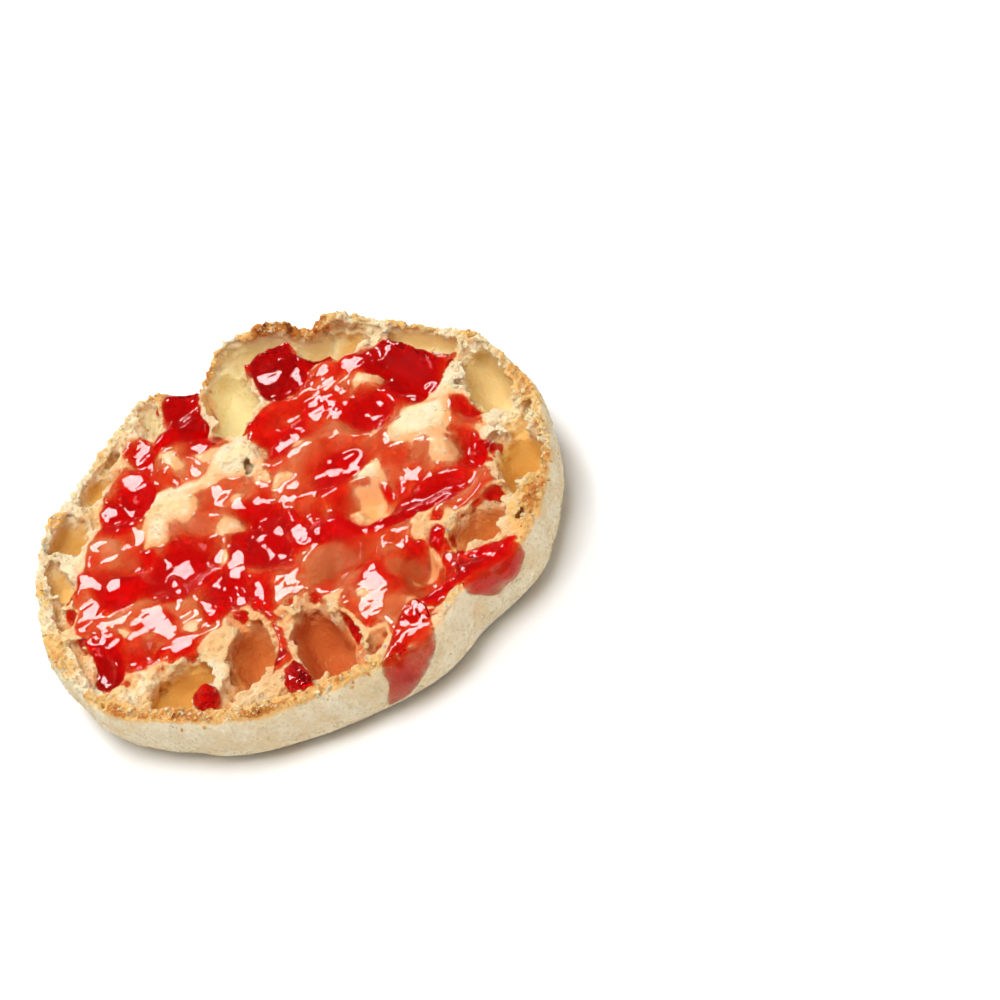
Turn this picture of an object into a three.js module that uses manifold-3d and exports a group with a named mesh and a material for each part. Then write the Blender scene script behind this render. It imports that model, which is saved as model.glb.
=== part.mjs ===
// One half of a split, toasted english muffin, lying on its griddled base with the torn side up,
// and the red jam that was spread on it. Millimetres, +Z up. The origin is the middle of the base,
// +X runs along the longest way across and +Y away from the side that the jam runs down.

import * as THREE from "three";
import { mergeGeometries, mergeVertices } from "three/addons/utils/BufferGeometryUtils.js";
import { SimplexNoise } from "three/addons/math/SimplexNoise.js";
import Module from "manifold-3d";

// Driving dimensions.
const RADIUS = 48; // mean radius at the widest, part way up the side
const FACE_HEIGHT = 12; // mean height of the torn face above the base
const CREST_RISE = 1; // how far the crust's edge stands above the torn face
const CRUST_THICKNESS = 2; // the least wall left outside a pocket that reaches the edge
const FLOOR_THICKNESS = 2.6; // the least bread left under a pocket
const JAM_RISE = 1.3; // how far spread jam stands above the face
const JAM_SAG = 0.4; // share of a pocket's depth that the jam sinks into it
const GAP = 0.3; // clearance between jam and bread

// How finely the torn face and the side are divided.
const FACE_CELLS = 40; // cells across the face, an even number
const SIDE_RINGS = 6;
const DROP_SIDES = 16;

// The side's profile from the base's edge to the crest: share of the outline's radius, share of the crest's height.
const SIDE_PROFILE = [
  [0.855, 0],
  [0.915, 0.06],
  [0.965, 0.25],
  [0.994, 0.52],
  [1.0, 0.8],
  [0.985, 1],
];
const CREST_SHARE = SIDE_PROFILE.at(-1)[0];

// Where the outline swells or is dented, and where the crest stands up or is torn down.
// at and spread are degrees round from +X, rise is millimetres.
const OUTLINE_SWELLS = [
  { at: 165, spread: 11, rise: -1.1 },
  { at: 133, spread: 10, rise: -1 },
  { at: 111, spread: 7, rise: 0.7 },
  { at: 84, spread: 12, rise: 1.5 },
  { at: 8, spread: 11, rise: -1 },
  { at: 262, spread: 16, rise: -0.9 },
  { at: 215, spread: 14, rise: 0.6 },
  { at: 318, spread: 12, rise: 0.6 },
  { at: 298, spread: 9, rise: -1.4 },
];
const CREST_PEAKS = [
  { at: 78, spread: 10, rise: 2.6 },
  { at: 76, spread: 4, rise: 1.2 },
  { at: 88, spread: 5, rise: 1.2 },
  { at: 97, spread: 5, rise: -3.9 },
  { at: 107, spread: 5, rise: 1.5 },
  { at: 69, spread: 3, rise: -1.8 },
  { at: 60, spread: 5, rise: 1 },
  { at: 40, spread: 14, rise: -2 },
  { at: 23, spread: 7, rise: 2.5 },
  { at: 350, spread: 9, rise: 0.7 },
  { at: 280, spread: 6, rise: -0.8 },
  { at: 298, spread: 8, rise: 1.9 },
  { at: 205, spread: 13, rise: -0.5 },
  { at: 146, spread: 6, rise: 1.8 },
];

// Bubbles that the tear opened: middle, half lengths, turn in degrees and depth below the face.
const BARE_POCKETS = [
  { at: [9, 46], reach: [9.5, 2.4], turn: -4, deep: 7 }, // under the far crest
  { at: [-1, 38], reach: [4.6, 9], turn: 0, deep: 9 },
  { at: [16.5, 41.3], reach: [3, 3.6], turn: 20, deep: 6.5 },
  { at: [35.5, 29], reach: [4.2, 11], turn: 38, deep: 5.5 }, // behind the far right crest
  { at: [41, 9.5], reach: [4, 8.5], turn: 8, deep: 7 },
  { at: [39.5, -13.4], reach: [4.2, 7.5], turn: -12, deep: 7.5 },
  { at: [28.5, -24.2], reach: [5.6, 4.2], turn: 15, deep: 6.5 },
  { at: [-4.2, -32.8], reach: [4.3, 10.4], turn: 4, deep: 9 }, // the deepest, at the front
  { at: [-28.6, -25.6], reach: [6.4, 4.8], turn: -8, deep: 7.5 },
  { at: [-15.5, -27], reach: [3.9, 8], turn: -12, deep: 7.5 },
  { at: [13, -5], reach: [5, 5], turn: 0, deep: 3.4 }, // jam no more than wets this one and the next
  { at: [16.5, -28], reach: [3, 6], turn: -8, deep: 5.5 },
  { at: [-37, 24], reach: [4.5, 3.4], turn: 40, deep: 4.5 },
  { at: [-29, 33], reach: [4, 2.6], turn: 30, deep: 3.5 },
  { at: [-44, -8], reach: [2.6, 5], turn: 0, deep: 3.5 },
  { at: [22.5, 36.5], reach: [3.2, 2.6], turn: 0, deep: 4.2 },
  { at: [-41, 14], reach: [2.4, 4.5], turn: 10, deep: 3.5 },
];
// The same, where jam has filled them.
const FILLED_POCKETS = [
  { at: [-5, -0.5], reach: [5, 8.5], turn: 0, deep: 5 },
  { at: [-21, 2.5], reach: [6.5, 6.5], turn: -15, deep: 4.5 },
  { at: [29, 22], reach: [4.5, 9], turn: 25, deep: 6 },
  { at: [20, 17], reach: [4, 4.8], turn: 0, deep: 4 },
  { at: [21, -11], reach: [9, 3.2], turn: -8, deep: 4.5 },
  { at: [-41, -12.5], reach: [3.6, 5.2], turn: 0, deep: 7 },
  { at: [-25, 23.5], reach: [5, 4], turn: 0, deep: 3.6 },
  { at: [-7.5, 38], reach: [4.2, 6], turn: 0, deep: 6 },
  { at: [8.3, 39.5], reach: [4.8, 6.5], turn: 0, deep: 7 },
  { at: [11, 7], reach: [6.5, 4.5], turn: 10, deep: 3 },
  { at: [5, -16], reach: [5, 3.8], turn: -10, deep: 3.5 },
];
// Lumps of crumb that stand above the face: rise is their height.
const MOUNDS = [
  { at: [25.5, 5.5], reach: [8, 7], turn: 5, rise: 2.6 },
  { at: [-4, 20.5], reach: [7, 4.5], turn: -25, rise: 2 },
  { at: [-17, 15], reach: [5, 6], turn: 0, rise: 2.1 },
  { at: [21, 40], reach: [5, 3.4], turn: -20, rise: 2 },
  { at: [35, 14], reach: [3.4, 4], turn: 0, rise: 1.6 },
  { at: [36, -25], reach: [4.5, 6], turn: -25, rise: 1 },
  { at: [28, -3], reach: [3, 5], turn: 0, rise: 1.6 },
  { at: [-15, 29], reach: [3.5, 4], turn: 0, rise: 1.4 },
  { at: [6, -28], reach: [7, 8], turn: 0, rise: 1.2 },
  { at: [23.5, 24], reach: [3, 3.5], turn: 0, rise: 1.4 },
];

// Where the knife left jam: middle, half lengths, turn in degrees.
const JAM_STROKES = [
  { at: [-36, 4], reach: [6, 13], turn: -12 },
  { at: [-29, 16], reach: [7, 8], turn: -35 },
  { at: [-24, 27], reach: [6, 8], turn: -15 },
  { at: [-19.5, 34], reach: [3.4, 6.5], turn: 0 },
  { at: [-8, 39.5], reach: [5.6, 8], turn: 0 },
  { at: [-12, 27], reach: [9, 7], turn: 0 },
  { at: [-38.5, -9], reach: [5.5, 9], turn: 0 },
  { at: [-26, 1], reach: [13, 12], turn: 0 },
  { at: [-25, -12], reach: [13, 8.5], turn: 8 },
  { at: [-11, 5], reach: [12, 15], turn: 0 },
  { at: [-8, -11], reach: [10, 11], turn: 0 },
  { at: [5, 26], reach: [7, 7], turn: 0 },
  { at: [8.3, 40], reach: [5.4, 9], turn: 0 },
  { at: [15, 34.5], reach: [6.5, 5], turn: -20 },
  { at: [16, 29], reach: [8, 7], turn: 0 },
  { at: [11, 16], reach: [13, 10], turn: 0 },
  { at: [30.5, 23.5], reach: [5.5, 10.5], turn: 14 },
  { at: [23, 17], reach: [8, 8], turn: 0 },
  { at: [33, 4], reach: [5, 8.5], turn: 0 },
  { at: [26, 6], reach: [9, 8], turn: 0 },
  { at: [36, 19.5], reach: [3, 3], turn: 0 },
  { at: [9, 4], reach: [14, 9], turn: 0 },
  { at: [23, -5], reach: [13, 9], turn: -10 },
  { at: [6, -16], reach: [14, 9], turn: 0 },
  { at: [8, -29], reach: [7.5, 10.5], turn: 0 },
  { at: [28, -14], reach: [8, 6.5], turn: 0 },
  { at: [21.5, -27], reach: [3, 9], turn: 8 },
  { at: [17, -32], reach: [5.5, 8], turn: 0 },
  { at: [26.5, -35.5], reach: [8.5, 4], turn: 30 },
  { at: [3, -6], reach: [8, 6], turn: 0 },
  { at: [15, -23], reach: [5, 5], turn: 0 },
  { at: [23, 29], reach: [5, 4.8], turn: 0 },
  { at: [-14, 32.5], reach: [4.5, 6], turn: 0 },
  { at: [-11, -24], reach: [3, 9], turn: 8 },
  { at: [-12.5, -31.4], reach: [4, 3.4], turn: 0 },
  { at: [10.5, -40], reach: [5, 7], turn: 10 },
];
// The largest lumps of the jam itself.
const JAM_LUMPS = [
  { at: [8.2, 41], reach: [4.8, 5.5], turn: 0, rise: 4.6 },
  { at: [28.5, 26], reach: [5, 4], turn: -40, rise: 2.4 },
  { at: [-7.5, 40], reach: [4.5, 4], turn: 0, rise: 1.8 },
  { at: [7.5, -28], reach: [6, 5], turn: 0, rise: 1.2 },
  { at: [27, -36], reach: [7, 2.6], turn: 30, rise: 1.2 },
  { at: [19, -35.5], reach: [5, 2], turn: 10, rise: 1.6 },
];
const STROKE_EDGE = 2.2; // how far in from a stroke's edge the jam rounds down
const STROKE_FALL = 1.4; // how steeply the jam's surface falls away outside its strokes
const POCKET_FALL = 5; // and how steeply at the brink of a bare pocket

// Jam that ran over the crest and down the side. angle is degrees round from +X, down is millimetres along
// the surface from the crest, inwards where it is below 0, and width is the half width.
const RUNS = [
  {
    from: { angle: 287.5, down: -9, width: 7, thick: 1.4 },
    to: { angle: 272, down: 11, width: 2.8, thick: 1.2 },
  },
  {
    from: { angle: 307.5, down: -6, width: 6.5, thick: 1.3 },
    to: { angle: 304, down: 6, width: 6, thick: 1.3 },
  },
];
// Drops that lie apart, on the brink of a pocket and in a groove of the front crest.
const LONE_DROPS = [
  { name: "jam_drop_left", at: [-25.6, -31.8, 11.4], reach: [2.2, 3.2, 1.6] },
  { name: "jam_drop_front", at: [-10.2, -39.6, 11.9], reach: [2.3, 3.7, 1.7] },
];

const { degToRad, seededRandom, smoothstep, lerp } = THREE.MathUtils;

seededRandom(11);
const noise = new SimplexNoise({ random: () => seededRandom() });

// Squared distance from a patch's middle, in units of its half lengths: 1 is its edge.
function distanceIn(patch, x, y) {
  const turn = degToRad(patch.turn);
  const dx = x - patch.at[0];
  const dy = y - patch.at[1];
  const along = (dx * Math.cos(turn) + dy * Math.sin(turn)) / patch.reach[0];
  const across = (dy * Math.cos(turn) - dx * Math.sin(turn)) / patch.reach[1];
  return along * along + across * across;
}

// Sum of bell-shaped rises round the edge at an angle in radians.
function bellSum(rises, angle) {
  return rises.reduce((sum, { at, spread, rise }) => {
    const away = Math.atan2(Math.sin(angle - degToRad(at)), Math.cos(angle - degToRad(at)));
    return sum + rise * Math.exp(-((away / degToRad(spread)) ** 2));
  }, 0);
}

function outlineRadius(angle) {
  const unevenness = 0.25 * Math.sin(9 * angle + 1) + 0.2 * Math.sin(14 * angle);
  return RADIUS + bellSum(OUTLINE_SWELLS, angle) + unevenness;
}

// Depth of the deepest pocket at a point: each is the lower half of an ellipsoid.
function pocketDepth(pockets, x, y) {
  return Math.max(0, ...pockets.map((p) => p.deep * Math.sqrt(Math.max(0, 1 - distanceIn(p, x, y)))));
}

// The torn face as if no bubble had opened in it.
function faceHeight(x, y) {
  const swell = 0.45 * Math.sin(x / 7 + 0.5) * Math.cos(y / 9 - 1);
  const fromEdge = Math.hypot(x, y) / outlineRadius(Math.atan2(y, x)) / CREST_SHARE;
  const crest = smoothstep(fromEdge, 0.88, 1) * (CREST_RISE + bellSum(CREST_PEAKS, Math.atan2(y, x)));
  return FACE_HEIGHT + swell + crest;
}

// Sum of soft round bumps at a point.
function bumps(patches, x, y) {
  return patches.reduce((sum, p) => sum + p.rise * Math.exp(-(distanceIn(p, x, y) ** 1.4)), 0);
}

// The bread's real top: crags, lumps and opened bubbles, with a wall of crust left at the edge.
function breadTop(x, y) {
  const crags = 0.5 * noise.noise(x / 4.5, y / 4.5);
  const mounds = bumps(MOUNDS, x, y);
  const fromEdge = CREST_SHARE * outlineRadius(Math.atan2(y, x)) - Math.hypot(x, y);
  const wall = smoothstep(fromEdge, CRUST_THICKNESS * 0.4, CRUST_THICKNESS * 1.2);
  const depth = wall * pocketDepth([...BARE_POCKETS, ...FILLED_POCKETS], x, y);
  return Math.max(FLOOR_THICKNESS, faceHeight(x, y) + crags + mounds - depth);
}

// Roughly how far inside a patch's edge a point lies, in millimetres: below 0 is outside.
function marginIn(patch, x, y) {
  return (1 - Math.sqrt(distanceIn(patch, x, y))) * Math.min(...patch.reach);
}

// How high jam stands above the face that it was spread on: below 0 it has run out.
function jamRise(x, y) {
  const inStroke = Math.max(...JAM_STROKES.map((s) => marginIn(s, x, y)));
  const inPocket = Math.max(...BARE_POCKETS.map((p) => marginIn(p, x, y)));
  const margin = Math.min(inStroke, -inPocket);
  if (margin < 0) return Math.min(STROKE_FALL * inStroke, -POCKET_FALL * inPocket);
  const edge = Math.min(margin / STROKE_EDGE, 1);
  return JAM_RISE * Math.sqrt(1 - (1 - edge) ** 2);
}

function jamTop(x, y) {
  const lumps = 0.35 * noise.noise(x / 6 + 40, y / 6);
  const sunk = JAM_SAG * pocketDepth(FILLED_POCKETS, x, y);
  return Math.max(FLOOR_THICKNESS, faceHeight(x, y) + jamRise(x, y) + lumps + bumps(JAM_LUMPS, x, y) - sunk);
}

// A square's point moved to a disc, so that the nested squares of its cells become rings.
function squareToDisc(u, v) {
  if (u === 0 && v === 0) return [0, 0];
  const [radius, angle] =
    Math.abs(u) > Math.abs(v) ? [u, (Math.PI / 4) * (v / u)] : [v, (Math.PI / 4) * (2 - u / v)];
  return [radius * Math.cos(angle), radius * Math.sin(angle)];
}

// A closed solid with an uneven round outline. top(x, y) gives its upper surface, and profile its side and
// base as shares of the outline's radius and of the height at the edge, above floor. grow moves it outwards.
function roundSolid({ top, profile, floor = 0, grow = 0 }) {
  const upper = new THREE.PlaneGeometry(FACE_CELLS, FACE_CELLS, FACE_CELLS, FACE_CELLS);
  const corners = upper.attributes.position;
  for (let i = 0; i < corners.count; i++) {
    const [dx, dy] = squareToDisc(corners.getX(i), corners.getY(i));
    const stretch = (CREST_SHARE * outlineRadius(Math.atan2(dy, dx))) / (FACE_CELLS / 2);
    const [x, y] = [dx * stretch, dy * stretch];
    corners.setXYZ(i, x, y, top(x, y) + grow);
  }
  const points = profile.map(([share, height]) => new THREE.Vector2(share, height));
  const side = new THREE.LatheGeometry([new THREE.Vector2(0, 0), ...points], 4 * FACE_CELLS);
  const rings = side.attributes.position;
  for (let i = 0; i < rings.count; i++) {
    const [share, height] = [Math.hypot(rings.getX(i), rings.getZ(i)), rings.getY(i)];
    const angle = (Math.PI / 2 / FACE_CELLS) * Math.round(4 * FACE_CELLS * side.attributes.uv.getX(i));
    const edge = CREST_SHARE * outlineRadius(angle);
    const rim = top(edge * Math.cos(angle), edge * Math.sin(angle)) + grow;
    const atRim = height === 1;
    const radius = share * outlineRadius(angle) + (atRim || share === 0 ? 0 : grow);
    rings.setXYZ(i, radius * Math.cos(angle), radius * Math.sin(angle), lerp(floor - grow, rim, height));
  }
  return solidOf(mergeGeometries([upper, side].map((g) => g.deleteAttribute("normal").deleteAttribute("uv"))));
}

function ellipsoid([x, y, z], [a, b, c]) {
  const ball = new THREE.SphereGeometry(1, DROP_SIDES, DROP_SIDES / 2);
  ball.rotateX(Math.PI / 2).scale(a, b, c).translate(x, y, z);
  return solidOf(ball.deleteAttribute("normal").deleteAttribute("uv"));
}

const wasm = await Module();
wasm.setup();

// A closed geometry as a solid for joining and cutting, and back.
function solidOf(geometry) {
  const merged = mergeVertices(geometry, 1e-3);
  const mesh = new wasm.Mesh({
    numProp: 3,
    vertProperties: merged.attributes.position.array,
    triVerts: new Uint32Array(merged.index.array),
  });
  mesh.merge(); // closes corners that rounding left a hair apart
  return new wasm.Manifold(mesh);
}

function geometryOf(solid) {
  const { vertProperties, triVerts } = solid.getMesh();
  const geometry = new THREE.BufferGeometry();
  geometry.setAttribute("position", new THREE.BufferAttribute(vertProperties, 3));
  geometry.setIndex(new THREE.BufferAttribute(triVerts, 1));
  geometry.computeVertexNormals();
  return geometry;
}

// Cutting leaves loose scraps where jam and crumb nearly meet: only the largest body is kept.
function largestBody(solid) {
  return solid.decompose().reduce((most, body) => (body.volume() > most.volume() ? body : most));
}

// The side's profile drawn through its named points.
function sideProfile() {
  const curve = new THREE.SplineCurve(SIDE_PROFILE.map(([share, height]) => new THREE.Vector2(share, height)));
  const drawn = curve.getPoints(SIDE_RINGS).map(({ x, y }) => [x, y]);
  return [...drawn.slice(0, -1), SIDE_PROFILE.at(-1)];
}

// The outline's share at a height given as a share of the crest's.
function shareAt(height) {
  const above = SIDE_PROFILE.findIndex(([, h]) => h >= height);
  if (above <= 0) return above < 0 ? CREST_SHARE : SIDE_PROFILE[0][0];
  const [[shareBelow, below], [shareAbove, next]] = [SIDE_PROFILE[above - 1], SIDE_PROFILE[above]];
  return lerp(shareBelow, shareAbove, (height - below) / (next - below));
}

// A ball stretched along the surface from the face, over the crest and down the side, which it hugs.
function jamRun({ from, to }) {
  const ball = new THREE.SphereGeometry(1, DROP_SIDES, DROP_SIDES);
  const points = ball.attributes.position;
  for (let i = 0; i < points.count; i++) {
    const t = (1 - points.getY(i)) / 2;
    const down = lerp(from.down, to.down, t);
    const sideways = (points.getX(i) * lerp(from.width, to.width, t)) / RADIUS;
    const angle = degToRad(lerp(from.angle, to.angle, t)) + sideways;
    const edge = CREST_SHARE * outlineRadius(angle);
    const rim = faceHeight(edge * Math.cos(angle), edge * Math.sin(angle));
    const height = rim - Math.max(down, 0);
    const out = lerp(from.thick, to.thick, t) * points.getZ(i);
    const onSide = smoothstep(down, -1.5, 1.5);
    const radius = outlineRadius(angle) * shareAt(height / rim) + Math.min(down, 0) + out * onSide;
    points.setXYZ(i, radius * Math.cos(angle), radius * Math.sin(angle), height + out * (1 - onSide));
  }
  return solidOf(ball.deleteAttribute("normal").deleteAttribute("uv"));
}

const profile = sideProfile();
const bread = roundSolid({ top: breadTop, profile });
const grownBread = roundSolid({ top: breadTop, profile, grow: GAP });
const sheetProfile = [
  [CREST_SHARE * 0.87, 0],
  [CREST_SHARE, 1],
];
const sheet = roundSolid({ top: jamTop, profile: sheetProfile, floor: 1 });
const spread = RUNS.map(jamRun).reduce((solid, drop) => solid.add(drop), sheet);

const crumb = new THREE.MeshStandardMaterial({ color: 0xe6cf9c, roughness: 0.9, metalness: 0 });
const jam = new THREE.MeshStandardMaterial({ color: 0xb5120f, roughness: 0.12, metalness: 0 });

function part(name, solid, material) {
  const mesh = new THREE.Mesh(geometryOf(solid), material);
  mesh.name = name;
  return mesh;
}

const muffinHalf = new THREE.Group();
muffinHalf.add(part("muffin_half", bread, crumb));
muffinHalf.add(part("jam_spread", largestBody(spread.subtract(grownBread)), jam));
for (const { name, at, reach } of LONE_DROPS) {
  muffinHalf.add(part(name, largestBody(ellipsoid(at, reach).subtract(grownBread)), jam));
}

export default muffinHalf;
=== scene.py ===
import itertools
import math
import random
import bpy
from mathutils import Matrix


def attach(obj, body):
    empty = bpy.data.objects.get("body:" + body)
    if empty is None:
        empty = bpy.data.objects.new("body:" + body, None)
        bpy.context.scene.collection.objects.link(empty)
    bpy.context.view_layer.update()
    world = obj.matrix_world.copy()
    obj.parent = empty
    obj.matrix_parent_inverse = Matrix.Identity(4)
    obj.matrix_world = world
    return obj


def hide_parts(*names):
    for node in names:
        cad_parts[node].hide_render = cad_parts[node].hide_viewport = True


bl_info = {
    "name": "English Muffin Half with Jam",
    "version": (1, 0, 0),
    "blender": (4, 5, 0),
    "location": "View3D > Sidebar > Muffin",
    "description": "Builds a toasted english muffin half, torn side up, spread with red jam",
    "category": "Object",
}

import bmesh
import bpy
import numpy as np
from bpy.props import FloatProperty, FloatVectorProperty, IntProperty, PointerProperty
from mathutils import Matrix, Vector, noise
from mathutils.bvhtree import BVHTree

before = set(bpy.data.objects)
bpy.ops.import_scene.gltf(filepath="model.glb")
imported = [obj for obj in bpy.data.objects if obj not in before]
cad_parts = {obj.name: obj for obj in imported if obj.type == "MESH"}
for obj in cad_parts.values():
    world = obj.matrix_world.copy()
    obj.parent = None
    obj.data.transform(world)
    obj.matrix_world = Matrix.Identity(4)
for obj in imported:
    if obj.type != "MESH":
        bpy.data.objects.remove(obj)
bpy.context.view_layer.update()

MM = 0.001

# Lengths in the tables and in the shape functions are millimetres, and angles are degrees.
# The side's profile: share of the outline's radius, share of the crest's height.
SIDE_PROFILE = [(0.855, 0), (0.915, 0.06), (0.965, 0.25), (0.994, 0.52), (1.0, 0.8), (0.985, 1)]
CREST_SHARE = SIDE_PROFILE[-1][0]

# Where the outline swells or is dented, and where the crest stands up or is torn down: angle round from +X,
# spread, rise.
OUTLINE_SWELLS = [
    (165, 11, -1.1), (133, 10, -1), (111, 7, 0.7), (84, 12, 1.5), (8, 11, -1), (262, 16, -0.9),
    (215, 14, 0.6), (318, 12, 0.6), (298, 9, -1.4),
]
CREST_PEAKS = [
    (78, 10, 2.6), (76, 4, 1.2), (88, 5, 1.2), (97, 5, -3.9), (107, 5, 1.5), (69, 3, -1.8), (60, 5, 1),
    (40, 14, -2), (23, 7, 2.5), (350, 9, 0.7), (280, 6, -0.8), (298, 8, 1.9), (205, 13, -0.5), (146, 6, 1.8),
]

# How browned the crest is: angle, spread and amount.
BROWNING = [
    (92, 4, 1), (76, 6, 1.5), (66, 4, 0.5), (44, 9, 0.45), (26, 3, 0.7), (105, 3, 0.6), (145, 3, 0.6),
    (165, 3, 0.6), (188, 5, 0.4), (212, 14, 0.6), (240, 22, 0.85), (266, 9, 0.65), (297, 5, 0.45),
    (322, 9, 0.8), (338, 8, 0.6), (347, 2.5, 0.4), (6, 12, 0.65),
]

# Patches of the torn face: middle x and y, half lengths, turn, and depth or rise where there is one.
# The last number of a bare pocket is how brown its skin is, from 0 to 1.
BARE_POCKETS = [
    (9, 46, 9.5, 2.4, -4, 7, 0.1), (-1, 38, 4.6, 9, 0, 9, 0.1), (16.5, 41.3, 3, 3.6, 20, 6.5, 0.15),
    (35.5, 29, 4.2, 11, 38, 5.5, 0.2), (41, 9.5, 4, 8.5, 8, 7, 0.25), (39.5, -13.4, 4.2, 7.5, -12, 7.5, 0.5),
    (28.5, -24.2, 5.6, 4.2, 15, 6.5, 0.8), (-4.2, -32.8, 4.3, 10.4, 4, 9, 0.88),
    (-28.6, -25.6, 6.4, 4.8, -8, 7.5, 0.58), (-15.5, -27, 3.9, 8, -12, 7.5, 0.82),
    (-37, 24, 4.5, 3.4, 40, 4.5, 0.45), (-29, 33, 4, 2.6, 30, 3.5, 0.45), (-44, -8, 2.6, 5, 0, 3.5, 0.45),
    (22.5, 36.5, 3.2, 2.6, 0, 4.2, 0.4), (-41, 14, 2.4, 4.5, 10, 3.5, 0.4),
]
# Bubbles that jam has filled.
FILLED_POCKETS = [
    (-5, -0.5, 5, 8.5, 0, 5), (-21, 2.5, 6.5, 6.5, -15, 4.5), (29, 22, 4.5, 9, 25, 6), (20, 17, 4, 4.8, 0, 4),
    (21, -11, 9, 3.2, -8, 4.5), (-41, -12.5, 3.6, 5.2, 0, 7), (-25, 23.5, 5, 4, 0, 3.6),
    (-7.5, 38, 4.2, 6, 0, 6), (8.3, 39.5, 4.8, 6.5, 0, 7), (11, 7, 6.5, 4.5, 10, 3),
    (5, -16, 5, 3.8, -10, 3.5), (13, -5, 5.8, 5.5, 0, 3.6), (-7, 31, 4, 3, 20, 2.5),
    (-19, 33, 2.5, 5.5, 0, 2.5), (-28, 8, 4.5, 3, 10, 2.5), (2.5, 20.5, 3.4, 4, 0, 3),
    (-15, -9, 3.6, 6, 15, 2.8), (8, 26, 5, 3.5, 0, 1.8), (33, -6, 3, 5, 0, 2.5), (36, 5, 2.6, 4, 0, 2),
    (21, -23, 2.6, 7, 0, 3.5), (16.5, -28, 3.6, 6.5, -8, 5.5), (-33, -14, 3.5, 3, -20, 2.5),
    (3, -3, 3, 6, 0, 1.8),
]
# Lumps of crumb that stand above the face.
MOUNDS = [
    (25.5, 5.5, 8, 7, 5, 2.6), (-4, 20.5, 7, 4.5, -25, 2), (-17, 15, 5, 6, 0, 2.1), (21, 40, 5, 3.4, -20, 2),
    (35, 14, 3.4, 4, 0, 1.6), (36, -25, 4.5, 6, -25, 1), (28, -3, 3, 5, 0, 1.6), (-15, 29, 3.5, 4, 0, 1.4),
    (6, -28, 7, 8, 0, 1.2), (23.5, 24, 3, 3.5, 0, 1.4),
]
# Where the knife left jam.
JAM_STROKES = [
    (-36, 4, 6, 13, -12), (-29, 16, 7, 8, -35), (-24, 27, 6, 8, -15), (-19.5, 34, 3.4, 6.5, 0),
    (-8, 39.5, 5.6, 8, 0), (-12, 27, 9, 7, 0), (-38.5, -9, 5.5, 9, 0), (-26, 1, 13, 12, 0),
    (-25, -12, 13, 8.5, 8), (-11, 5, 12, 15, 0), (-8, -11, 10, 11, 0), (5, 26, 7, 7, 0), (8.3, 40, 5.4, 9, 0),
    (15, 34.5, 6.5, 5, -20), (16, 29, 8, 7, 0), (11, 16, 13, 10, 0), (30.5, 23.5, 5.5, 10.5, 14),
    (23, 17, 8, 8, 0), (33, 4, 5, 8.5, 0), (26, 6, 9, 8, 0), (36, 19.5, 3, 3, 0), (9, 4, 14, 9, 0),
    (23, -5, 13, 9, -10), (6, -16, 14, 9, 0), (8, -29, 7.5, 10.5, 0), (28, -14, 8, 6.5, 0),
    (21.5, -27, 3, 9, 8), (17, -32, 5.5, 8, 0), (26.5, -35.5, 8.5, 4, 30), (3, -6, 8, 6, 0),
    (15, -23, 5, 5, 0), (23, 29, 5, 4.8, 0), (-14, 32.5, 4.5, 6, 0), (-11, -24, 3, 9, 8),
    (-12.5, -31.8, 4, 3.8, 0), (10.5, -40, 5, 7, 10),
]
# Lumps and smears of the jam itself.
JAM_LUMPS = [
    (7.5, -28, 6, 5, 0, 1.2), (8.2, 41, 4.8, 5.5, 0, 4.6), (28.5, 26, 5, 4, -40, 2.4),
    (-14.5, 33.7, 2.6, 1.1, 45, 1.5), (-10, 35.6, 3.6, 1.1, 8, 1.5), (-3.5, 32, 5.5, 1.1, -49, 1.4),
    (-34, 5, 4, 3.5, 0, 0.9), (-7.5, 40, 4.5, 4, 0, 1.8), (20, 30, 4, 3, 0, 1), (23.5, 28.5, 3.6, 3, 0, 1),
    (-22, 27, 3, 4, 0, 0.9), (-28, -10, 4, 3, 20, 0.9), (-26, -18, 4.5, 3, 0, 0.9), (-10, -4, 2.6, 4, 0, 0.8),
    (0.5, -6, 2.4, 3.4, 0, 0.8), (-10, -15, 3.6, 3.4, 30, 1), (-19, -13, 3.4, 3, 0, 0.8),
    (5, 17.5, 5, 2, -20, 1), (35, -6, 2.4, 4, 0, 0.8), (-9, 28, 4, 3, 0, 0.9), (34, 8, 2.2, 8, -8, 1),
    (20, -12.5, 9, 1.4, -6, 0.9), (27, -36, 7, 2.6, 30, 1.2), (19, -35.5, 5, 2, 10, 1.6),
    (-33, 0, 4, 3, 0, 0.8), (-40, -13, 3, 4, 0, 0.6), (3, -39, 2.4, 2.4, 0, 0.5), (22, -20, 2, 5, 10, 0.7),
    (-12, -33, 3.6, 3.6, 0, 0.9), (5, -7.5, 5.5, 3, 0, 2),
]
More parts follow.
